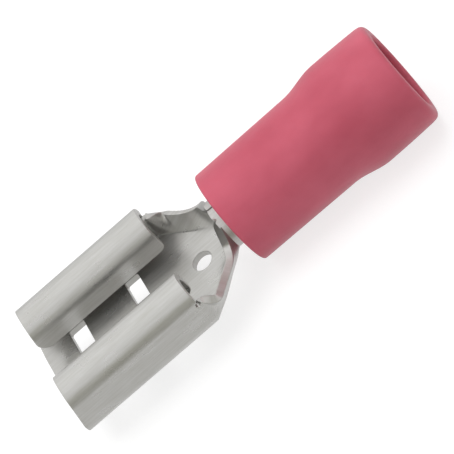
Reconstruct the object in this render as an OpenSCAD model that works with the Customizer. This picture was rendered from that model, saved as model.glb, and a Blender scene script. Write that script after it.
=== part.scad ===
// Insulated female spade terminal for a 6.3 x 0.8 mm tab, crimped on small red-range wire.
// A one-piece terminal of tin-plated brass strip is held in a red vinyl sleeve.
// Millimetres. Origin at the centre of the wire barrel's mouth, +Y towards the wire,
// +Z out of the open side of the tab socket.

/* [Strip] */
// Thickness of the brass strip
strip_t = 0.4; // [0.3:0.01:0.45]

/* [Tab socket] */
// Outside width over the two rolled edges
socket_w = 7.2; // [7:0.1:7.8]
// Outside height from the underside to the top of the rolls
socket_h = 3; // [2.8:0.05:3.3]
// Length of the rolled edges, measured at the underside
socket_l = 8; // [6.5:0.25:9]
// Outside radius of each rolled edge
roll_r = 1.05; // [0.9:0.05:1.2]
// Outside radius of the bend between the floor and each side
bend_r = 0.5; // [0.46:0.01:0.7]
// Clear height that grips the tab, from the floor to the free edges of the rolls
grip_gap = 0.7; // [0.6:0.02:0.76]
// How far the rolls' front ends lean back over their height
front_lean = 0.6; // [0:0.05:0.8]
// How far the middle of the floor's front edge stands ahead of its sides
front_bow = 0.14; // [0.05:0.01:0.3]
// Radius of the free edges' front corners
lip_front_r = 0.62; // [0.3:0.02:0.8]
// Radius of the free edges' rear corners
lip_rear_r = 0.35; // [0.2:0.05:0.5]

/* [Windows in the floor] */
// Width of both windows, across the terminal
window_w = 4.5; // [3:0.1:5]
// Length of the front window, along the terminal
front_window_l = 0.93; // [0.6:0.01:1.2]
// Length of the rear window, along the terminal
rear_window_l = 0.8; // [0.6:0.01:1.2]
// Distance between the centres of the windows
window_pitch = 3.47; // [2.6:0.01:3.8]
// Distance from the rear ends of the rolls to the middle of the two windows
window_set = 4.15; // [3.6:0.05:4.5]
// Corner radius of the windows
window_r = 0.12; // [0.05:0.01:0.25]
// Rise of the detent bridge between the windows
detent_rise = 0.1; // [0.05:0.01:0.2]
// Length of the coined pad ahead of the front window, along the terminal
pad_l = 0.6; // [0.3:0.05:0.8]
// Width of the coined pad
pad_w = 1.15; // [0.6:0.05:1.6]
// Place of the pad's middle, across the terminal
pad_x = -1.32; // [-1.6:0.02:1.6]
// Rise of the coined pad
pad_rise = 0.05; // [0.03:0.01:0.1]

/* [Neck] */
// Length of the neck, from the rear ends of the rolls to the closed barrel
neck_l = 2.8; // [2.5:0.1:4]
// Height of the neck's flanks above the underside, where they leave the socket
wall_h = 1.86; // [1.4:0.01:1.9]
// Half width of the flat blank at its narrowest, just ahead of the barrel
waist_half = 2.4; // [2.2:0.02:2.6]
// Half width of the neck's flat floor at the waist
waist_floor_half = 0.92; // [0.6:0.02:1.2]
// How far the neck's flanks lean outwards, in degrees from upright
wall_lean = 40; // [0:1:45]
// Length over which the flanks lean out, behind the rolls
lean_l = 0.9; // [0.6:0.05:1.6]
// Diameter of the hole in the neck's floor
neck_hole_d = 1.04; // [0.6:0.02:1.2]
// Distance from the rear ends of the rolls to the centre of the hole
neck_hole_set = 0.93; // [0.8:0.01:1.2]
// Diameter of the relief between each roll and the flank behind it
relief_d = 0.3; // [0.2:0.02:0.4]

/* [Wire barrel] */
// Bore of the closed barrel
barrel_bore = 1.8; // [1.6:0.05:2]
// Length of the closed barrel
barrel_l = 5.7; // [4.5:0.1:7]
// Gap left at the butted seam
seam_gap = 0.06; // [0.04:0.01:0.1]

/* [Sleeve] */
// Clearance between the sleeve's front bore and the barrel
sleeve_fit = 0.03; // [0.02:0.01:0.08]
// How far the closed barrel stands out of the sleeve's front face
barrel_show = 0.5; // [0.2:0.05:1]
// Outside diameter at the sleeve's front face
sleeve_front_d = 5.02; // [4.6:0.02:5.2]
// Outside diameter where the sleeve begins to widen
sleeve_waist_d = 5.1; // [4.6:0.02:5.2]
// Outside diameter where the sleeve has widened
sleeve_wide_d = 5.7; // [5.4:0.02:6]
// Outside diameter at the sleeve's rear end
sleeve_rear_d = 5.56; // [5.4:0.02:6]
// Bore that takes the wire's insulation
entry_bore = 4.1; // [3.6:0.05:4.4]
// Distance from the barrel's mouth to where the sleeve begins to widen
step_set = 0.3; // [0.1:0.05:0.8]
// Length over which the sleeve widens
step_l = 1.9; // [1.4:0.1:2.6]
// Length of the wide rear part
entry_l = 3.1; // [2:0.1:5]
// Rounding of the sleeve's front edge
front_round = 0.14; // [0.05:0.01:0.25]
// Share of the sleeve's rear wall that its outer rounding takes
rear_round_share = 0.44; // [0.1:0.01:0.6]
// Share of the sleeve's rear wall that its inner rounding takes
mouth_round_share = 0.25; // [0.05:0.01:0.35]

/* [Hidden] */
$fn = 96;
EPS = 0.01;

tin = [0.76, 0.76, 0.73];
red_vinyl = [0.76, 0.29, 0.36];

// Radii of the barrel, and the underside that the barrel and the socket share.
bore_r = barrel_bore / 2;
barrel_r = bore_r + strip_t;
mid_r = bore_r + strip_t / 2;
under = -barrel_r;

// Stations along Y, from the wire end to the front.
barrel_front = -barrel_l;
socket_rear = barrel_front - neck_l;
socket_front = socket_rear - socket_l;
windows_mid = socket_rear - window_set;

// The bridge of metal between the two windows.
bridge_l = window_pitch - (front_window_l + rear_window_l) / 2;
bridge_mid = windows_mid + (front_window_l - rear_window_l) / 4;
BRIDGE_ROOT = 0.05; // how far the bridge runs into the floor beside it
PAD_MARGIN = 0.12; // between the pad and the front window

// Heights and places in the socket's cross-section.
roll_z = under + socket_h - roll_r;
roll_x = socket_w / 2 - roll_r;
lip_x = roll_x - roll_r;
lip_edge = under + strip_t + grip_gap;

// The neck's cross-section is half a strip, bent along its length: floor, bend and flank.
SKIN = 0.025; // how far the neck's ends lie inside the walls that they run into
ROOT = 0.25; // how far the neck runs into the socket and into the barrel
FLOOR_STEPS = 10;
BEND_STEPS = 8;
WALL_STEPS = 9;
NECK_RINGS = 32;
RING_BIAS = 1.4; // above 1, the rings crowd towards the barrel
CURL_POWER = 12.5; // how late along the neck the strip curls up
FLARE_POWER = 30; // how late along the neck the blank flares to the barrel's width
EVEN_POWER = 2.9; // how late along the neck the bends spread over the whole width
FLOOR_POWER = 2.5; // how late along the neck the floor's share of the blank drops

floor_half = socket_w / 2 - bend_r;
bend_len = (bend_r - strip_t / 2) * PI / 2;
blank_half = floor_half + bend_len + wall_h - bend_r;
closed_half = mid_r * PI - seam_gap / 2;
bend_share = bend_len / blank_half;

function lerp(a, b, k) = a + (b - a) * k;
function clamp01(k) = min(1, max(0, k));
function ease(k) = k * k * (3 - 2 * k);

// How far along the neck a station lies, from 0 at the socket to 1 at the barrel.
function along(y) = clamp01((y - socket_rear) / neck_l);

// Half width of the flat blank at a station. It tapers to the waist, then flares to the barrel.
function half_strip(y) =
    let (k = along(y))
    lerp(lerp(blank_half, waist_half, sin(90 * k)), closed_half, pow(k, FLARE_POWER));

// Share of the half strip that lies flat, before the bend.
function floor_share(y) =
    lerp(floor_half / blank_half, waist_floor_half / waist_half, pow(along(y), FLOOR_POWER));

// How evenly the strip is bent: 0 keeps the socket's bends, 1 is part of a circle.
function evenness(y) = pow(ease(along(y)), EVEN_POWER);

// Direction of the strip at its edge, in degrees from flat: upright, leaning out, then a tube.
function edge_turn(y) =
    let (closed_turn = closed_half / mid_r * 180 / PI,
        lean = wall_lean * ease(clamp01((y - socket_rear) / lean_l)))
    lerp(90 - lean, closed_turn, pow(along(y), CURL_POWER));

// Direction of the strip at one share of its half width.
function turn(share, y) =
    edge_turn(y) * lerp(clamp01((share - floor_share(y)) / bend_share), share, evenness(y));

// Shares of the half strip at which a station's cross-section has its points.
function shares(y) =
    let (bend = floor_share(y), flank = bend + bend_share)
    concat(
        [for (i = [0:FLOOR_STEPS - 1]) bend * i / FLOOR_STEPS],
        [for (i = [0:BEND_STEPS - 1]) bend + bend_share * i / BEND_STEPS],
        [for (i = [0:WALL_STEPS]) flank + (1 - flank) * i / WALL_STEPS]
    );

// Middle line of the half strip at a station, as [x, z] points.
function middle(y) =
    let (half = half_strip(y), s = shares(y))
    [for (i = 0, p = [0, under + strip_t / 2]; i < len(s);
        i = i + 1,
        p = i < len(s)
            ? let (a = (turn(s[i - 1], y) + turn(s[i], y)) / 2)
                p + (s[i] - s[i - 1]) * half * [cos(a), sin(a)]
            : p) p];

// One face of the half strip: side is 1 for the inside and -1 for the outside.
function face_line(y, side) =
    let (m = middle(y), s = shares(y), off = side * (strip_t / 2 - SKIN))
    [for (i = [0:len(m) - 1])
        let (a = turn(s[i], y)) m[i] + off * [-sin(a), cos(a)]];

// The closed ring of a station: outside from left to right, then inside back again.
function ring(y) =
    let (out = face_line(y, -1), inn = face_line(y, 1), n = len(out))
    concat(
        [for (i = [n - 1:-1:1]) [-out[i][0], y, out[i][1]]],
        [for (i = [0:n - 1]) [out[i][0], y, out[i][1]]],
        [for (i = [n - 1:-1:0]) [inn[i][0], y, inn[i][1]]],
        [for (i = [1:n - 1]) [-inn[i][0], y, inn[i][1]]]
    );

// Rings from inside the socket's rear end to inside the barrel's front end.
neck_stations = [
    socket_rear - ROOT,
    for (i = [0:NECK_RINGS]) barrel_front - neck_l * pow(1 - i / NECK_RINGS, RING_BIAS),
    barrel_front + ROOT
];

module along_y() rotate([-90, 0, 0]) children();

// A window's outline, with rounded corners.
module rounded_bar(w, l, r) {
    square([w - 2 * r, l], center = true);
    square([w, l - 2 * r], center = true);
    for (x = [-1, 1], y = [-1, 1])
        translate([x * (w / 2 - r), y * (l / 2 - r)]) circle(r);
}

// Right half of the socket's cross-section, drawn with Z as the page's Y.
module half_section() {
    translate([0, under]) square([floor_half, strip_t]);
    translate([floor_half, under + bend_r]) intersection() {
        difference() {
            circle(bend_r);
            circle(bend_r - strip_t);
        }
        translate([0, -bend_r]) square(bend_r);
    }
    translate([socket_w / 2 - strip_t, under + bend_r])
        square([strip_t, roll_z - under - bend_r]);
    translate([roll_x, roll_z]) intersection() {
        difference() {
            circle(roll_r);
            circle(roll_r - strip_t);
        }
        translate([-roll_r, 0]) square([2 * roll_r, roll_r]);
    }
    translate([lip_x, lip_edge]) square([strip_t, roll_z - lip_edge]);
}

// The rolled channel over its whole length, before its ends are trimmed.
module channel() {
    translate([0, socket_rear, 0]) rotate([90, 0, 0])
        linear_extrude(socket_l) {
            half_section();
            mirror([1, 0]) half_section();
        }
}

// What the bowed front edge leaves: a wide disc seen from above.
module front_disc() {
    disc_r = (pow(socket_w / 2, 2) + pow(front_bow, 2)) / (2 * front_bow);
    translate([0, socket_front + disc_r, under - 1]) cylinder(r = disc_r, h = socket_h + 2, $fn = 360);
}

// The frame of the sloping front face: its Y is 0 on that face, and its Z runs up it.
module on_front_face() {
    translate([0, socket_front, under]) rotate([-atan(front_lean / socket_h), 0, 0]) children();
}

module front_slope() {
    on_front_face() translate([-socket_w, -socket_l, -1])
        cube([2 * socket_w, socket_l, socket_h + 3]);
}

// What a rounding of radius r takes off the corner of both lips, at height z.
// The metal lies behind the corner where dir is -1, and ahead of it where dir is 1.
module lip_corner(z, r, dir) {
    reach = roll_x - strip_t;
    translate([-reach, 0, z]) rotate([90, 0, 90]) linear_extrude(2 * reach) difference() {
        translate([dir > 0 ? -r : -1, -grip_gap / 2]) square([r + 1, r + grip_gap / 2]);
        translate([-dir * r, r]) circle(r);
    }
}

module windows() {
    for (w = [[-1, front_window_l], [1, rear_window_l]])
        translate([0, windows_mid + w[0] * window_pitch / 2, under - 1])
            linear_extrude(1 + strip_t + grip_gap / 2) rounded_bar(window_w, w[1], window_r);
}

// The strip between the windows, arched upwards to click into the tab's hole.
module bridge_gap() {
    translate([-window_w / 2, bridge_mid - bridge_l / 2 - EPS, under - 1])
        cube([window_w, bridge_l + 2 * EPS, 1 + strip_t + grip_gap / 2]);
}

module detent_bridge() {
    half_span = window_w / 2 + BRIDGE_ROOT;
    arch_r = (pow(half_span, 2) + pow(detent_rise, 2)) / (2 * detent_rise);
    top = under + strip_t + detent_rise;
    intersection() {
        translate([0, bridge_mid - bridge_l / 2, top - arch_r]) along_y() difference() {
            cylinder(r = arch_r, h = bridge_l, $fn = 720);
            translate([0, 0, -1]) cylinder(r = arch_r - strip_t, h = bridge_l + 2, $fn = 720);
        }
        translate([-half_span, bridge_mid - bridge_l, under])
            cube([2 * half_span, 2 * bridge_l, strip_t + 1]);
    }
}

// The low coined pad ahead of the front window.
module coined_pad() {
    translate([pad_x, windows_mid - window_pitch / 2 - front_window_l / 2 - pad_l / 2 - PAD_MARGIN,
        under + strip_t - EPS])
        linear_extrude(pad_rise + EPS) square([pad_w, pad_l], center = true);
}

module socket() {
    difference() {
        intersection() {
            channel();
            front_disc();
        }
        front_slope();
        windows();
        bridge_gap();
        on_front_face() lip_corner(lip_edge - under, lip_front_r, -1);
        translate([0, socket_rear, 0]) lip_corner(lip_edge, lip_rear_r, 1);
    }
    detent_bridge();
    coined_pad();
}

// The open trough that narrows and curls from the socket into the barrel.
module neck() {
    rings = [for (y = neck_stations) ring(y)];
    n = len(rings[0]);
    last = len(rings) - 1;
    half = n / 2;
    difference() {
        polyhedron(
            points = [for (r = rings, p = r) p],
            faces = concat(
                [for (j = [0:last - 1], i = [0:n - 1])
                    let (a = j * n + i, b = j * n + (i + 1) % n) [a, b, b + n, a + n]],
                [for (i = [0:half - 2]) [i, n - 1 - i, n - 2 - i, i + 1]],
                [for (i = [0:half - 2])
                    [last * n + i, last * n + i + 1, last * n + n - 2 - i, last * n + n - 1 - i]]
            )
        );
        translate([0, socket_rear + neck_hole_set, under - 1])
            cylinder(d = neck_hole_d, h = strip_t + 2);
    }
}

module barrel() {
    translate([0, barrel_front, 0]) along_y() difference() {
        cylinder(r = barrel_r, h = barrel_l);
        translate([0, 0, -1]) cylinder(r = bore_r, h = barrel_l + 2);
        translate([-seam_gap / 2, -barrel_r - 1, -1]) cube([seam_gap, barrel_r + 1, barrel_l + 2]);
    }
}

// The round nick at the foot of each roll's rear end, where the neck's flank begins.
module reliefs() {
    for (side = [-1, 1]) translate([side * roll_x, socket_rear, under + wall_h])
        rotate([0, side * 90, 0]) cylinder(d = relief_d, h = 2 * roll_r);
}

module terminal() {
    color(tin) difference() {
        union() {
            socket();
            neck();
            barrel();
        }
        reliefs();
    }
}

// Outside radius of the sleeve at a distance behind its front face.
sleeve_face = barrel_front + barrel_show;
sleeve_end = step_set + step_l + entry_l;

function sleeve_outside(y) =
    let (k = clamp01((y - step_set) / step_l))
    y < step_set ? lerp(sleeve_front_d, sleeve_waist_d, (y - sleeve_face) / (step_set - sleeve_face)) / 2
    : y < step_set + step_l ? lerp(sleeve_waist_d, sleeve_wide_d, ease(k)) / 2
    : lerp(sleeve_wide_d, sleeve_rear_d, pow((y - step_set - step_l) / entry_l, 2)) / 2;

STEP_POINTS = 12;
ROUND_POINTS = 5;

module sleeve() {
    fit_r = barrel_r + sleeve_fit;
    entry_r = entry_bore / 2;
    rear_r = sleeve_rear_d / 2;
    rear_round = (rear_r - entry_r) * rear_round_share;
    mouth_round = (rear_r - entry_r) * mouth_round_share;
    // Points run [radius, y]: up the outside, round the rear rim, and back down the bore.
    outside = concat(
        [for (i = [0:ROUND_POINTS]) let (a = 90 * i / ROUND_POINTS)
            [sleeve_front_d / 2 - front_round * (1 - sin(a)), sleeve_face + front_round * (1 - cos(a))]],
        [for (i = [0:STEP_POINTS]) let (y = step_set + step_l * i / STEP_POINTS) [sleeve_outside(y), y]],
        [for (i = [1:3]) let (y = step_set + step_l + (entry_l - rear_round) * i / 4) [sleeve_outside(y), y]],
        [for (i = [0:ROUND_POINTS]) let (a = 90 * i / ROUND_POINTS)
            [rear_r - rear_round * (1 - cos(a)), sleeve_end - rear_round * (1 - sin(a))]]
    );
    inside = concat(
        [for (i = [0:ROUND_POINTS]) let (a = 90 * i / ROUND_POINTS)
            [entry_r + mouth_round * (1 - sin(a)), sleeve_end - mouth_round * (1 - cos(a))]],
        [for (i = [STEP_POINTS:-1:0]) let (k = i / STEP_POINTS)
            [lerp(fit_r, entry_r, ease(k)), step_set + step_l * k]],
        [[fit_r, sleeve_face]]
    );
    color(red_vinyl) rotate([90, 0, 0]) mirror([0, 0, 1])
        rotate_extrude($fn = 128) polygon(concat(outside, inside));
}

terminal();
sleeve();
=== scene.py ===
"""Looks of the insulated female spade terminal: tin-plated strip, red vinyl sleeve, white studio.

The terminal is modelled as it is made. A flat blank is meshed, then folded along the same laws as
the solid, and its sheared edges are rounded. Lengths are millimetres up to put_mesh, which turns them
into metres, and metres in the studio.
"""
import math

import bpy
import numpy as np
from mathutils import Matrix, Vector, geometry


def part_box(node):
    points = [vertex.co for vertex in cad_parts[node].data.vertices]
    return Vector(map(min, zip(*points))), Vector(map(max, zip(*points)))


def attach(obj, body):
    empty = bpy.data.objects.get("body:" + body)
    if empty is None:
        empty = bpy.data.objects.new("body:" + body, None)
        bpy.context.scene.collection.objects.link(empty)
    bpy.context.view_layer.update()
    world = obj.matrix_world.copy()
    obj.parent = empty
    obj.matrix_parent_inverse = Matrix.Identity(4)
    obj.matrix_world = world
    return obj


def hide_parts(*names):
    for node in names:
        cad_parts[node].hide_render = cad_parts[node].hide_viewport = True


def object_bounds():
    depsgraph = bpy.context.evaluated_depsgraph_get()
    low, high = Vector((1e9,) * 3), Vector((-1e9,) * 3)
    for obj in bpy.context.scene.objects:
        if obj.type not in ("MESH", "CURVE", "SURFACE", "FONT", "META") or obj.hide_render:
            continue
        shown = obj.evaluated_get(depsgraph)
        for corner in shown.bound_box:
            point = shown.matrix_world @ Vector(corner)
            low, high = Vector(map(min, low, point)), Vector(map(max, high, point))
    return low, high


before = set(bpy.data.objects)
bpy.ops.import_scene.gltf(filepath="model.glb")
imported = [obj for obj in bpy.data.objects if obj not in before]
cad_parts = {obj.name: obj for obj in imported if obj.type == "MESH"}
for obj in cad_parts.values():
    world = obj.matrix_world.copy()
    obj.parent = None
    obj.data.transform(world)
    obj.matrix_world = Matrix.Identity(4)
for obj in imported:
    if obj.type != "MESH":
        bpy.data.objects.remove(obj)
cad_box = [list(corner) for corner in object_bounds()]
MM = 0.001


def box_mm(node):
    low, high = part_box(node)
    return np.array(low) / MM, np.array(high) / MM


# ---------------------------------------------------------------- the solid's sizes
term_low, term_high = box_mm("terminal")
sleeve_low, sleeve_high = box_mm("sleeve")

STRIP = 0.4
SOCKET_W = term_high[0] - term_low[0]
UNDER = term_low[2]
SOCKET_H = term_high[2] - term_low[2]
SOCKET_FRONT = -16.5
SOCKET_REAR = -8.5
BARREL_FRONT = -5.7
ROLL_R = 1.05
BEND_R = 0.5
GRIP_GAP = 0.7
FRONT_LEAN = 0.6
FRONT_BOW = 0.14
LIP_FRONT_R = 0.62
LIP_REAR_R = 0.35

WINDOW_W = 4.5
FRONT_WINDOW_L = 0.93
REAR_WINDOW_L = 0.8
WINDOW_PITCH = 3.47
WINDOWS_MID = SOCKET_REAR - 4.15
WINDOW_R = 0.12
DETENT_RISE = 0.1
PAD_MID = (-1.32, -15.27)
PAD_SIZE = (1.15, 0.6)
PAD_RISE = 0.05

WALL_H = 1.86
WAIST_HALF = 2.4
WAIST_FLOOR_HALF = 0.92
WALL_LEAN = 40.0
LEAN_L = 0.9
NECK_HOLE_D = 1.04
NECK_HOLE_Y = SOCKET_REAR + 0.93
RELIEF_D = 0.3
CURL_POWER = 12.5
FLARE_POWER = 30
EVEN_POWER = 2.9
FLOOR_POWER = 2.5

BORE_R = 0.9
SEAM_GAP = 0.06

# the mesh's own sizes
EDGE_R = 0.045  # rounding of the sheared edges
EDGE_STEPS = 4
RIM_GAP = 0.035  # grid points nearer than this to an edge's points are left out
LOOP_STEP = 0.1
SEAM_STEP = 0.12
NECK_TRIES = 400
NECK_BIAS = 1.8
NECK_STEP = 0.035
MOST_STRETCH = 1.5  # how much further than its sides a corner's point moves in
PAD_PATCH = (0.75, 0.45)  # half size of the finer grid around the pad
PAD_STEP = 0.03
PAD_CLEAR = 0.01
PAD_SLOPE = 0.06

MID_R = BORE_R + STRIP / 2
ROLL_Z = UNDER + SOCKET_H - ROLL_R
LIP_EDGE = UNDER + STRIP + GRIP_GAP
NECK_L = BARREL_FRONT - SOCKET_REAR
FLOOR_HALF = SOCKET_W / 2 - BEND_R
BEND_MID_R = BEND_R - STRIP / 2
ROLL_MID_R = ROLL_R - STRIP / 2
BEND_LEN = BEND_MID_R * math.pi / 2
BLANK_HALF = FLOOR_HALF + BEND_LEN + WALL_H - BEND_R
CLOSED_HALF = MID_R * math.pi - SEAM_GAP / 2
WALL_END = FLOOR_HALF + BEND_LEN + ROLL_Z - UNDER - BEND_R
ROLL_END = WALL_END + ROLL_MID_R * math.pi
LIP_END = ROLL_END + ROLL_Z - LIP_EDGE


# ---------------------------------------------------------------- folding the blank
def ease(k):
    return k * k * (3 - 2 * k)


def half_strip(y):
    """Half the flat strip's width along the neck and the barrel."""
    k = np.clip((y - SOCKET_REAR) / NECK_L, 0, 1)
    narrow = BLANK_HALF + (WAIST_HALF - BLANK_HALF) * np.sin(k * math.pi / 2)
    return narrow + (CLOSED_HALF - narrow) * k ** FLARE_POWER


def fold_socket(s):
    """Where the socket's section lies, x and z, at an arc length s >= 0 from its middle."""
    bend = np.clip((s - FLOOR_HALF) / BEND_MID_R, 0, math.pi / 2)
    roll = np.clip((s - WALL_END) / ROLL_MID_R, 0, math.pi)
    on_wall = np.clip(s - FLOOR_HALF - BEND_LEN, 0, WALL_END - FLOOR_HALF - BEND_LEN)
    on_lip = np.maximum(s - ROLL_END, 0)
    x = np.minimum(s, FLOOR_HALF) + BEND_MID_R * np.sin(bend) - ROLL_MID_R * (1 - np.cos(roll))
    z = UNDER + STRIP / 2 + BEND_MID_R * (1 - np.cos(bend)) + on_wall + ROLL_MID_R * np.sin(roll) - on_lip
    return x, z


def fold_neck(s, y, steps=96):
    """The same for the neck and the barrel, where the strip curls up evenly."""
    k = np.clip((y - SOCKET_REAR) / NECK_L, 0, 1)
    half = half_strip(y)
    even = ease(k) ** EVEN_POWER
    closed_turn = CLOSED_HALF / MID_R
    wall_turn = np.radians(90 - WALL_LEAN * ease(np.clip((y - SOCKET_REAR) / LEAN_L, 0, 1)))
    edge_turn = wall_turn + (closed_turn - wall_turn) * k ** CURL_POWER
    socket_share = FLOOR_HALF / BLANK_HALF
    floor_share = socket_share + (WAIST_FLOOR_HALF / WAIST_HALF - socket_share) * k ** FLOOR_POWER
    bend_share = BEND_LEN / BLANK_HALF

    def turn(share):
        sharp = np.clip((share - floor_share) / bend_share, 0, 1)
        return edge_turn * (sharp + (share - sharp) * even)

    share = s / half
    x = np.zeros_like(s)
    z = np.full_like(s, UNDER + STRIP / 2)
    for i in range(steps):
        angle = turn(share * (i + 0.5) / steps)
        x += s / steps * np.cos(angle)
        z += s / steps * np.sin(angle)
    return x, z


def fold(flat):
    """The strip's middle surface at points (s, y) of the flat blank."""
    s, y = flat[:, 0], flat[:, 1]
    side = np.where(s < 0, -1.0, 1.0)
    socket_x, socket_z = fold_socket(np.abs(s))
    neck_x, neck_z = fold_neck(np.abs(s), y)
    in_socket = y <= SOCKET_REAR
    x = np.where(in_socket, socket_x, neck_x) * side
    z = np.where(in_socket, socket_z, neck_z)
    # the bridge between the windows is arched up
    half_span = WINDOW_W / 2
    arch_r = (half_span ** 2 + DETENT_RISE ** 2) / (2 * DETENT_RISE)
    on_bridge = (np.abs(s) < half_span) & (np.abs(y - WINDOWS_MID) < WINDOW_PITCH / 2)
    arch = np.sqrt(np.maximum(arch_r ** 2 - s ** 2, 0)) - arch_r + DETENT_RISE
    z += np.where(on_bridge, np.maximum(arch, 0), 0)
    return np.stack([x, y, z], 1)


def surface_normals(flat, step=0.004):
    """Normals from the folded surface itself, which also leans along the neck."""
    ahead, behind = flat + [0, step], flat - [0, step]
    right, left = flat + [step, 0], flat - [step, 0]
    along = fold(ahead) - fold(behind)
    across = fold(right) - fold(left)
    normal = np.cross(across, along)
    return normal / np.linalg.norm(normal, axis=1)[:, None]


# ---------------------------------------------------------------- the blank's outline
def spaced(points, step):
    """A polyline's points with more put in, so that none are further apart than step."""
    out = [points[0]]
    for a, b in zip(points[:-1], points[1:]):
        count = max(1, int(math.ceil(math.dist(a, b) / step)))
        out += [tuple(np.array(a) + (np.array(b) - a) * i / count) for i in range(1, count + 1)]
    return out


def arc(centre, radius, start, end, count=10):
    return [
        (centre[0] + radius * math.cos(math.radians(start + (end - start) * i / count)),
         centre[1] + radius * math.sin(math.radians(start + (end - start) * i / count)))
        for i in range(count + 1)
    ]


def rounded(before, corner, after, radius, count=10):
    """An arc that is tangent to both sides of a corner."""
    c = np.array(corner)
    u = (np.array(before) - c) / math.dist(before, corner)
    v = (np.array(after) - c) / math.dist(after, corner)
    half = math.acos(np.clip(np.dot(u, v), -1, 1)) / 2
    middle = c + (u + v) / np.linalg.norm(u + v) * radius / math.sin(half)
    p, q = c + u * radius / math.tan(half), c + v * radius / math.tan(half)
    a0 = math.atan2(*(p - middle)[::-1])
    a1 = math.atan2(*(q - middle)[::-1])
    a1 += 2 * math.pi * round((a0 - a1) / (2 * math.pi))
    return [
        (middle[0] + radius * math.cos(a0 + (a1 - a0) * i / count),
         middle[1] + radius * math.sin(a0 + (a1 - a0) * i / count))
        for i in range(count + 1)
    ]


def front_edge(s):
    """Where the front edge lies along Y, for the bowed and sloping cut."""
    x, z = fold_socket(np.array([s]))
    disc_r = ((SOCKET_W / 2) ** 2 + FRONT_BOW ** 2) / (2 * FRONT_BOW)
    bow = SOCKET_FRONT + disc_r - math.sqrt(disc_r ** 2 - x[0] ** 2)
    slope = SOCKET_FRONT + (z[0] - UNDER) * FRONT_LEAN / SOCKET_H
    return max(bow, slope)


def neck_edge():
    """The neck's free edge from the barrel to the relief cut."""
    line = []
    for i in range(1, NECK_TRIES):
        y = BARREL_FRONT - NECK_L * (i / NECK_TRIES) ** NECK_BIAS
        point = (float(half_strip(np.array(y))), y)
        if math.dist(point, (BLANK_HALF, SOCKET_REAR)) > RELIEF_D / 2:
            line.append(point)
    thinned = [line[0]]
    for point in line[1:]:
        if math.dist(point, thinned[-1]) > NECK_STEP:
            thinned.append(point)
    return thinned


def blank_outline():
    """The right half of the blank from the barrel's mouth to the middle of the front edge."""
    seam = spaced([(0, 0), (CLOSED_HALF, 0), (CLOSED_HALF, BARREL_FRONT)], SEAM_STEP)
    neck = neck_edge()
    start = math.degrees(math.atan2(neck[-1][1] - SOCKET_REAR, neck[-1][0] - BLANK_HALF))
    relief = arc((BLANK_HALF, SOCKET_REAR), RELIEF_D / 2, start, 360, 16)
    rear_corner = arc((LIP_END - LIP_REAR_R, SOCKET_REAR - LIP_REAR_R), LIP_REAR_R, 90, 0, 12)
    corner = (LIP_END, front_edge(LIP_END))
    roll_end = (ROLL_END, front_edge(ROLL_END))
    front_corner = rounded((LIP_END, SOCKET_REAR), corner, roll_end, LIP_FRONT_R, 14)
    front = [(s, front_edge(s)) for s in np.linspace(front_corner[-1][0], 0, 130)[1:]]
    half = seam + neck[:-1] + relief
    half += spaced([relief[-1], rear_corner[0]], LOOP_STEP)[1:-1] + rear_corner
    half += spaced([rear_corner[-1], front_corner[0]], LOOP_STEP)[1:-1] + front_corner + front
    return half


def mirrored(half):
    return half + [(-s, y) for s, y in reversed(half[1:-1])]


def window(y, length):
    across = WINDOW_W / 2 - WINDOW_R
    along = length / 2 - WINDOW_R
    loop = []
    for side, end, start in ((1, 1, 90), (1, -1, 0), (-1, -1, -90), (-1, 1, 180)):
        loop += arc((side * across, y + end * along), WINDOW_R, start, start - 90, 6)
    return spaced(loop + [loop[0]], LOOP_STEP)[:-1]


def inset(loop, amount):
    """The loop moved into the metal. Outer and hole loops both run with the metal on their right."""
    p = np.array(loop)
    before, after = np.roll(p, 1, 0), np.roll(p, -1, 0)
    d0, d1 = p - before, after - p
    d0 /= np.linalg.norm(d0, axis=1)[:, None]
    d1 /= np.linalg.norm(d1, axis=1)[:, None]
    n0 = np.stack([d0[:, 1], -d0[:, 0]], 1)
    n1 = np.stack([d1[:, 1], -d1[:, 0]], 1)
    n = n0 + n1
    n /= np.linalg.norm(n, axis=1)[:, None]
    stretch = np.minimum(1 / np.maximum((n * n0).sum(1), 0.5), MOST_STRETCH)
    return p + n * (amount * stretch)[:, None]


def inside(points, loop):
    """Which points lie inside a closed loop."""
    x, y = points[:, 0], points[:, 1]
    count = np.zeros(len(points), int)
    for (x0, y0), (x1, y1) in zip(loop, np.roll(loop, -1, 0)):
        if y0 != y1:
            crosses = (y0 > y) != (y1 > y)
            count += crosses & (x < x0 + (y - y0) / (y1 - y0) * (x1 - x0))
    return count % 2 == 1


def near(points, loop, gap):
    """Which points lie within a gap of a loop's points."""
    close = np.zeros(len(points), bool)
    for p in np.array(loop):
        close |= np.abs(points - p).max(1) < gap
    return close


def stations(*runs):
    """Values along an axis: each run is (end, step), after the start."""
    values = [runs[0]]
    for end, step in runs[1:]:
        count = max(1, round(abs(end - values[-1]) / step))
        values += list(np.linspace(values[-1], end, count + 1)[1:])
    return np.array(values)


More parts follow.
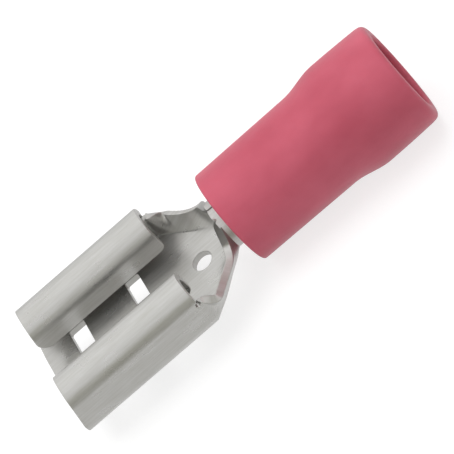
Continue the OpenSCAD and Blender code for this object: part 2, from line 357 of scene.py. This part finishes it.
def blank_points():
    """Interior points of the flat blank, closer together where it is bent."""
    s_socket = stations(0, (FLOOR_HALF, 0.16), (FLOOR_HALF + BEND_LEN, 0.04), (WALL_END, 0.14),
                        (ROLL_END, 0.07), (LIP_END, 0.12))
    s_neck = stations(0, (BLANK_HALF, 0.075))
    y_socket = stations(SOCKET_FRONT, (SOCKET_REAR, 0.16))
    y_neck = stations(SOCKET_REAR + 0.07, (BARREL_FRONT, 0.07), (0, 0.15))
    grids = []
    for s_line, y_line in ((s_socket, y_socket), (s_neck, y_neck)):
        s_all = np.concatenate([-s_line[:0:-1], s_line])
        grids.append(np.stack(np.meshgrid(s_all, y_line), -1).reshape(-1, 2))
    patch = [
        middle + np.linspace(-half, half, round(2 * half / PAD_STEP) + 1)
        for middle, half in zip(PAD_MID, PAD_PATCH)
    ]
    pad = np.stack(np.meshgrid(*patch), -1).reshape(-1, 2)
    on_pad = (np.abs(grids[0] - PAD_MID) < np.array(PAD_PATCH) + PAD_CLEAR).all(1)
    return np.concatenate([grids[0][~on_pad], pad, grids[1]])


# ---------------------------------------------------------------- the folded strip as one mesh
def put_mesh(name, points, faces, normals=None, flat=None):
    mesh = bpy.data.meshes.new(name)
    mesh.from_pydata((np.array(points) * MM).tolist(), [], faces)
    mesh.polygons.foreach_set("use_smooth", [True] * len(mesh.polygons))
    if flat is not None:
        layer = mesh.uv_layers.new(name="blank")
        loop_vertex = np.zeros(len(mesh.loops), int)
        mesh.loops.foreach_get("vertex_index", loop_vertex)
        layer.data.foreach_set("uv", np.array(flat)[loop_vertex].ravel())
    if normals is not None:
        mesh.normals_split_custom_set_from_vertices(np.array(normals).tolist())
    obj = bpy.data.objects.new(name, mesh)
    bpy.context.scene.collection.objects.link(obj)
    return obj


def pad_height(flat):
    """How far the coined pad stands out of the floor's inner face."""
    dx = PAD_SIZE[0] / 2 - np.abs(flat[:, 0] - PAD_MID[0])
    dy = PAD_SIZE[1] / 2 - np.abs(flat[:, 1] - PAD_MID[1])
    return PAD_RISE * ease(np.clip(np.minimum(dx, dy) / PAD_SLOPE + 0.5, 0, 1))


def flat_strip(inner_loops):
    """The blank's points and triangles inside its rounded edge, and where each loop point is kept."""
    grid = blank_points()
    keep = inside(grid, inner_loops[0]) & ~near(grid, inner_loops[0], RIM_GAP)
    for loop in inner_loops[1:]:
        keep &= ~inside(grid, loop) & ~near(grid, loop, RIM_GAP)
    flat = np.concatenate(inner_loops + [grid[keep]])
    edges, start = [], 0
    for loop in inner_loops:
        n = len(loop)
        edges += [(start + i, start + (i + 1) % n) for i in range(n)]
        start += n
    cut = geometry.delaunay_2d_cdt([Vector(p) for p in flat.tolist()], edges, [], 0, 1e-6, True)
    points = np.array([tuple(v) for v in cut[0]])
    tris = np.array(cut[2])
    place = {tuple(ids)[0]: i for i, ids in enumerate(cut[3]) if len(ids)}

    middle = points[tris].mean(1)
    keep = inside(middle, inner_loops[0])
    for loop in inner_loops[1:]:
        keep &= ~inside(middle, loop)
    tris = tris[keep]
    a, b, c = (points[tris[:, i]] for i in range(3))
    turn = (b - a)[:, 0] * (c - a)[:, 1] - (b - a)[:, 1] * (c - a)[:, 0]
    tris[turn < 0] = tris[turn < 0][:, ::-1]
    return points, tris, place


def edge_ways(outward, normal):
    """Directions in which a rounded edge faces, from the strip's inner face round to its outer one."""
    quarter = [i / EDGE_STEPS * math.pi / 2 for i in range(1, EDGE_STEPS + 1)]
    for side, angles in ((1, quarter), (-1, quarter[::-1])):
        for angle in angles:
            yield side, normal * side * math.cos(angle) + outward * math.sin(angle)


def make_terminal():
    loops = [
        mirrored(blank_outline()),
        window(WINDOWS_MID - WINDOW_PITCH / 2, FRONT_WINDOW_L)[::-1],
        window(WINDOWS_MID + WINDOW_PITCH / 2, REAR_WINDOW_L)[::-1],
        arc((0, NECK_HOLE_Y), NECK_HOLE_D / 2, 0, 360, 48)[:-1],
    ]
    flat, tris, place = flat_strip([inset(loop, EDGE_R) for loop in loops])
    middle = fold(flat)
    normal = surface_normals(flat)
    count = len(flat)
    inner_face = middle + normal * (STRIP / 2 + pad_height(flat))[:, None]
    outer_face = middle - normal * STRIP / 2
    points, normals, flats = [inner_face, outer_face], [normal, -normal], [flat, flat]
    faces = [tuple(t) for t in tris.tolist()]
    faces += [tuple(t) for t in (tris[:, ::-1] + count).tolist()]

    total, start = 2 * count, 0
    for loop in loops:
        n = len(loop)
        ids = np.array([place[start + i] for i in range(n)])
        at, up = middle[ids], normal[ids]
        outward = fold(np.array(loop)) - at
        outward -= up * (outward * up).sum(1)[:, None]
        outward /= np.linalg.norm(outward, axis=1)[:, None]
        rows = [ids]
        for side, way in edge_ways(outward, up):
            points.append(at + up * side * (STRIP / 2 - EDGE_R) + way * EDGE_R)
            normals.append(way)
            flats.append(np.array(loop))
            rows.append(np.arange(total, total + n))
            total += n
        rows.append(ids + count)
        for r0, r1 in zip(rows[:-1], rows[1:]):
            for i in range(n):
                j = (i + 1) % n
                faces.append((int(r0[i]), int(r0[j]), int(r1[j]), int(r1[i])))
        start += n
    return put_mesh("terminal_strip", np.concatenate(points), faces,
                    np.concatenate(normals), np.concatenate(flats))


# ---------------------------------------------------------------- the sleeve
SLEEVE_FACE = sleeve_low[1]
SLEEVE_END = sleeve_high[1]
STEP_SET = 0.3
STEP_L = 1.9
ENTRY_L = 3.1
FRONT_D = 5.02
WAIST_D = 5.1
WIDE_D = 5.7
REAR_D = 5.56
FIT_R = 1.33
ENTRY_R = 2.05
REAR_WALL = REAR_D / 2 - ENTRY_R
FRONT_ROUND = 0.14
REAR_ROUND = 0.44 * REAR_WALL
MOUTH_ROUND = 0.25 * REAR_WALL

# the mesh's own sizes
AROUND = 160
FRONT_GAP = 0.25  # from the front rounding to the next ring of points
REAR_GAP = 0.12  # from the last such ring to the rear rounding
ENTRY_GAPS = (0.6, 0.3)  # the entry's straight rings, from the rear end and from the step
FIT_START = -1
FIT_CUT = (0.05, 0.06)  # the cut edge of the front bore, along r and y


def sleeve_outside(y):
    """The sleeve's outer radius."""
    if y < STEP_SET:
        return (FRONT_D + (WAIST_D - FRONT_D) * (y - SLEEVE_FACE) / (STEP_SET - SLEEVE_FACE)) / 2
    k = (y - STEP_SET) / STEP_L
    if k < 1:
        return (WAIST_D + (WIDE_D - WAIST_D) * ease(k)) / 2
    k = (y - STEP_SET - STEP_L) / ENTRY_L
    return (WIDE_D + (REAR_D - WIDE_D) * k * k) / 2


def sleeve_profile():
    """The wall's section, outside from the front to the rear and inside back to the front."""
    turns = [math.radians(90 * i / 8) for i in range(9)]
    line = [(FRONT_D / 2 - FRONT_ROUND * (1 - math.sin(a)), SLEEVE_FACE + FRONT_ROUND * (1 - math.cos(a)))
            for a in turns]
    rear = SLEEVE_END - REAR_ROUND
    line += [(sleeve_outside(y), y) for y in np.linspace(line[-1][1] + FRONT_GAP, rear - REAR_GAP, 40)]
    line += [(REAR_D / 2 - REAR_ROUND * (1 - math.cos(a)), SLEEVE_END - REAR_ROUND * (1 - math.sin(a)))
             for a in turns]
    line += [(ENTRY_R + MOUTH_ROUND * (1 - math.sin(a)), SLEEVE_END - MOUTH_ROUND * (1 - math.cos(a)))
             for a in turns]
    entry = np.linspace(SLEEVE_END - ENTRY_GAPS[0], STEP_SET + STEP_L + ENTRY_GAPS[1], 6)
    line += [(ENTRY_R, y) for y in entry]
    line += [(FIT_R + (ENTRY_R - FIT_R) * ease(k), STEP_SET + STEP_L * k) for k in np.linspace(1, 0, 17)]
    line += [(FIT_R, y) for y in np.linspace(FIT_START, SLEEVE_FACE + FIT_CUT[1], 8)]
    line += [(FIT_R + FIT_CUT[0], SLEEVE_FACE), (FRONT_D / 4 + FIT_R / 2, SLEEVE_FACE)]
    return line


def make_sleeve():
    line = sleeve_profile()
    n = len(line)
    points, faces = [], []
    for j in range(AROUND):
        a = 2 * math.pi * j / AROUND
        for r, y in line:
            points.append((r * math.cos(a), y, r * math.sin(a)))
    for j in range(AROUND):
        k = (j + 1) % AROUND
        for i in range(n):
            m = (i + 1) % n
            faces.append((j * n + i, j * n + m, k * n + m, k * n + i))
    return put_mesh("vinyl_sleeve", points, faces)


# ---------------------------------------------------------------- materials
def new_material(name):
    material = bpy.data.materials.new(name)
    material.use_nodes = True
    tree = material.node_tree
    return material, tree, tree.nodes["Principled BSDF"]


def add(tree, kind, **inputs):
    node = tree.nodes.new(kind)
    for key, value in inputs.items():
        node.inputs[key.replace("_", " ")].default_value = value
    return node


def ramp(tree, source, stops):
    node = tree.nodes.new("ShaderNodeValToRGB")
    elements = node.color_ramp.elements
    while len(elements) < len(stops):
        elements.new(0.5)
    for element, (place, colour) in zip(elements, stops):
        element.position = place
        element.color = (*colour, 1) if isinstance(colour, tuple) else (colour, colour, colour, 1)
    tree.links.new(source, node.inputs["Fac"])
    return node


def stretched_noise(tree, coords, scale, noise_scale, detail=4.0, roughness=0.55):
    mapping = tree.nodes.new("ShaderNodeMapping")
    mapping.inputs["Scale"].default_value = scale
    tree.links.new(coords, mapping.inputs["Vector"])
    noise = add(tree, "ShaderNodeTexNoise", Scale=noise_scale, Detail=detail, Roughness=roughness)
    tree.links.new(mapping.outputs["Vector"], noise.inputs["Vector"])
    return noise


def tin_plate():
    material, tree, shader = new_material("tin_plate")
    link = tree.links.new
    uv = tree.nodes.new("ShaderNodeUVMap")
    uv.uv_map = "blank"
    blank = uv.outputs["UV"]
    streak = stretched_noise(tree, blank, (9.0, 0.5, 1.0), 1.0, 5.0, 0.6)
    cloud = stretched_noise(tree, blank, (0.9, 0.5, 1.0), 1.0, 3.0, 0.5)
    colour = ramp(tree, streak.outputs["Fac"], [(0.3, (0.52, 0.515, 0.485)), (0.7, (0.62, 0.615, 0.60))])
    link(colour.outputs["Color"], shader.inputs["Base Color"])
    rough = ramp(tree, cloud.outputs["Fac"], [(0.3, 0.24), (0.7, 0.38)])
    link(rough.outputs["Color"], shader.inputs["Roughness"])
    bump = add(tree, "ShaderNodeBump", Strength=0.25, Distance=0.00001)
    link(streak.outputs["Fac"], bump.inputs["Height"])
    link(bump.outputs["Normal"], shader.inputs["Normal"])
    shader.inputs["Metallic"].default_value = 0.72
    return material


def red_vinyl():
    material, tree, shader = new_material("red_vinyl")
    link = tree.links.new
    coords = tree.nodes.new("ShaderNodeTexCoord").outputs["Object"]
    cloud = stretched_noise(tree, coords, (500.0, 300.0, 500.0), 1.0, 3.0, 0.5)
    colour = ramp(tree, cloud.outputs["Fac"], [(0.3, (0.50, 0.075, 0.12)), (0.7, (0.60, 0.11, 0.165))])
    link(colour.outputs["Color"], shader.inputs["Base Color"])
    grain = add(tree, "ShaderNodeTexNoise", Scale=6000.0, Detail=3.0)
    link(coords, grain.inputs["Vector"])
    bump = add(tree, "ShaderNodeBump", Strength=0.3, Distance=0.00002)
    link(grain.outputs["Fac"], bump.inputs["Height"])
    link(bump.outputs["Normal"], shader.inputs["Normal"])
    shader.inputs["Roughness"].default_value = 0.42
    shader.inputs["Subsurface Weight"].default_value = 0.25
    shader.inputs["Subsurface Radius"].default_value = (0.0008, 0.0003, 0.0003)
    shader.inputs["Subsurface Scale"].default_value = 1.0
    return material


# ---------------------------------------------------------------- studio
FLOOR_SIZE = 0.6
FLOOR_MIDDLE = (0, -0.0056)
VIEW_OVER = 46.5  # degrees that the camera leans from +Z towards +X
VIEW_BACK = 7.5  # degrees that it leans on towards +Y
VIEW_TURN = 40.84  # degrees that the picture is turned
VIEW_PIVOT = (0, -0.0057, 0)
VIEW_SHIFT = (0.00025, -0.000088)  # metres that the camera stands to the right and up
VIEW_DISTANCE = 0.18
LENS = 308.3
SENSOR = 36


def sky(tree, direction):
    """What the metal mirrors in a direction: light, but dark and warm near the horizon towards +X."""
    link = tree.links.new
    parts = tree.nodes.new("ShaderNodeSeparateXYZ")
    link(direction, parts.inputs[0])
    height = add(tree, "ShaderNodeMapRange", From_Min=-1.0, From_Max=1.0)
    link(parts.outputs["Z"], height.inputs["Value"])
    dark_side = ramp(tree, height.outputs["Result"], [
        (0.0, 0.85), (0.15, 0.82), (0.3, (0.36, 0.355, 0.31)), (0.45, (0.34, 0.335, 0.28)),
        (0.58, (0.48, 0.475, 0.41)), (0.75, 0.9), (1.0, 1.0)])
    far_side = ramp(tree, height.outputs["Result"], [
        (0.0, 0.85), (0.3, 0.7), (0.5, 0.72), (0.65, 0.9), (1.0, 1.0)])
    side = add(tree, "ShaderNodeMapRange", From_Min=-0.3, From_Max=0.5)
    link(parts.outputs["X"], side.inputs["Value"])
    mix = tree.nodes.new("ShaderNodeMix")
    mix.data_type = "RGBA"
    link(side.outputs["Result"], mix.inputs["Factor"])
    link(far_side.outputs["Color"], mix.inputs["A"])
    link(dark_side.outputs["Color"], mix.inputs["B"])
    return mix.outputs["Result"]


def by_ray(tree, seen, mirrored_by, lights):
    """One shader for camera and transmission rays, one for glossy rays and one for the rest."""
    link = tree.links.new
    path = tree.nodes.new("ShaderNodeLightPath")
    direct = tree.nodes.new("ShaderNodeMath")
    direct.operation = "MAXIMUM"
    link(path.outputs["Is Camera Ray"], direct.inputs[0])
    link(path.outputs["Is Transmission Ray"], direct.inputs[1])
    last = lights
    for factor, shader in ((path.outputs["Is Glossy Ray"], mirrored_by), (direct.outputs[0], seen)):
        mix = tree.nodes.new("ShaderNodeMixShader")
        link(factor, mix.inputs["Fac"])
        link(last.outputs[0], mix.inputs[1])
        link(shader.outputs[0], mix.inputs[2])
        last = mix
    return last.outputs[0]


def make_world():
    world = bpy.data.worlds.new("studio")
    bpy.context.scene.world = world
    world.use_nodes = True
    tree = world.node_tree
    fill = tree.nodes["Background"]
    fill.inputs["Color"].default_value = (1, 1, 1, 1)
    fill.inputs["Strength"].default_value = 0.5
    white = add(tree, "ShaderNodeBackground", Color=(1, 1, 1, 1), Strength=1.0)
    reflected = add(tree, "ShaderNodeBackground", Strength=1.0)
    direction = tree.nodes.new("ShaderNodeTexCoord").outputs["Generated"]
    tree.links.new(sky(tree, direction), reflected.inputs["Color"])
    tree.links.new(by_ray(tree, white, reflected, fill), tree.nodes["World Output"].inputs["Surface"])


def floor_paper():
    material = bpy.data.materials.new("floor_paper")
    material.use_nodes = True
    tree = material.node_tree
    tree.nodes.clear()
    lit = add(tree, "ShaderNodeBsdfDiffuse", Color=(0.85, 0.85, 0.85, 1))
    seen_lit = add(tree, "ShaderNodeBsdfDiffuse", Color=(0.35, 0.35, 0.35, 1))
    glow = add(tree, "ShaderNodeEmission", Color=(1, 1, 1, 1), Strength=0.75)
    seen = tree.nodes.new("ShaderNodeAddShader")
    tree.links.new(seen_lit.outputs[0], seen.inputs[0])
    tree.links.new(glow.outputs[0], seen.inputs[1])
    reflected = add(tree, "ShaderNodeEmission", Strength=1.0)
    turned = tree.nodes.new("ShaderNodeVectorMath")
    turned.operation = "SCALE"
    turned.inputs["Scale"].default_value = -1.0
    tree.links.new(tree.nodes.new("ShaderNodeNewGeometry").outputs["Incoming"], turned.inputs[0])
    tree.links.new(sky(tree, turned.outputs[0]), reflected.inputs["Color"])
    out = tree.nodes.new("ShaderNodeOutputMaterial")
    tree.links.new(by_ray(tree, seen, reflected, lit), out.inputs["Surface"])
    return material


def make_floor(height):
    bpy.ops.mesh.primitive_plane_add(size=FLOOR_SIZE, location=(*FLOOR_MIDDLE, height))
    floor = bpy.context.object
    floor.name = "floor"
    floor.data.materials.append(floor_paper())


def area_lamp(name, place, target, size, power):
    """A soft lamp that the metal doesn't mirror, since sky() is what it mirrors."""
    lamp = bpy.data.lights.new(name, "AREA")
    lamp.shape = "RECTANGLE"
    lamp.size, lamp.size_y = size
    lamp.energy = power
    obj = bpy.data.objects.new(name, lamp)
    obj.location = place
    obj.rotation_euler = (Vector(target) - Vector(place)).to_track_quat("-Z", "Y").to_euler()
    obj.visible_glossy = False
    bpy.context.scene.collection.objects.link(obj)


def make_camera():
    theta, phi, roll = (math.radians(d) for d in (VIEW_OVER, VIEW_BACK, VIEW_TURN))
    away = Vector((math.sin(theta), 0, math.cos(theta)))
    across = Vector((math.cos(theta), 0, -math.sin(theta)))
    along = math.cos(phi) * Vector((0, 1, 0)) - math.sin(phi) * away
    back = math.sin(phi) * Vector((0, 1, 0)) + math.cos(phi) * away
    right = math.cos(roll) * along + math.sin(roll) * across
    up = math.sin(roll) * along - math.cos(roll) * across
    place = Vector(VIEW_PIVOT) + VIEW_SHIFT[0] * right + VIEW_SHIFT[1] * up + VIEW_DISTANCE * back
    data = bpy.data.cameras.new("camera")
    data.lens = LENS
    data.sensor_width = SENSOR
    data.clip_start = 0.005
    data.clip_end = 10
    camera = bpy.data.objects.new("camera", data)
    camera.matrix_world = Matrix.Translation(place) @ Matrix((right, up, back)).transposed().to_4x4()
    bpy.context.scene.collection.objects.link(camera)
    bpy.context.scene.camera = camera


# ---------------------------------------------------------------- the scene
make_camera()
terminal = make_terminal()
terminal.data.materials.append(tin_plate())
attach(terminal, "root")
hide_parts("terminal")

sleeve = make_sleeve()
sleeve.data.materials.append(red_vinyl())
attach(sleeve, "root")
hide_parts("sleeve")

make_world()
make_floor(cad_box[0][2])
area_lamp("overhead", (-0.05, -0.02, 0.2), (0, -0.005, 0), (0.25, 0.25), 0.4)

bpy.context.scene.view_settings.view_transform = "Standard"
